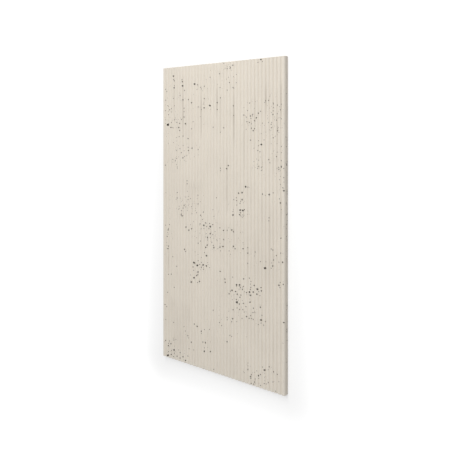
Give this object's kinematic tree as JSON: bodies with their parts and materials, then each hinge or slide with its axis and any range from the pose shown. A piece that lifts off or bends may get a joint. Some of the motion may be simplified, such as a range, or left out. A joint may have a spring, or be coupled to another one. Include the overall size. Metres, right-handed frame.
{
  "type": "concrete wall panel",
  "caption": "Flat rectangular concrete wall panel with a reeded face of close half-round ribs, plain edges and a plain back for bonding to a wall.",
  "frame": {"origin": "centre of the flat back, which the panel lies on", "axes": "+X across the ribs, to the right as the reeded face is seen upright; +Y along the ribs, towards the top edge; +Z out of the reeded face"},
  "size_m": [0.5994, 1.2, 0.02],
  "materials": {
    "concrete": "matt, as cast, with air pores"
  },
  "bodies": {
    "root": {"ribbed_panel": "concrete"}
  },
  "joints": []
}
